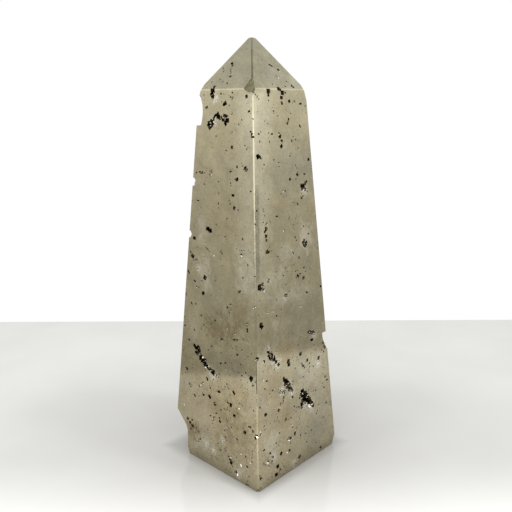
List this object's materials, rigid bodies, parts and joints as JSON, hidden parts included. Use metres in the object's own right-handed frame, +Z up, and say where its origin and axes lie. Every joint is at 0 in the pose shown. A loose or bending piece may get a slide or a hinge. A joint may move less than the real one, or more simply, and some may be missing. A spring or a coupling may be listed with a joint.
{
  "type": "pyrite obelisk",
  "caption": "Polished pyrite obelisk: square tapered shaft, low pyramid top, worn and chipped edges, natural crystal-lined pits.",
  "frame": {"origin": "centre of the flat square base, on the surface that the stone stands on", "axes": "+Z up along the shaft to the point; the base's sides are square to X and Y; the worn front corner that the reference picture faces points to +X and -Y"},
  "size_m": [0.05, 0.05, 0.1681],
  "materials": {
    "pyrite": "polished metallic mineral, pale brassy grey, with dark rough pits"
  },
  "bodies": {
    "root": {"obelisk": "pyrite"}
  },
  "joints": []
}
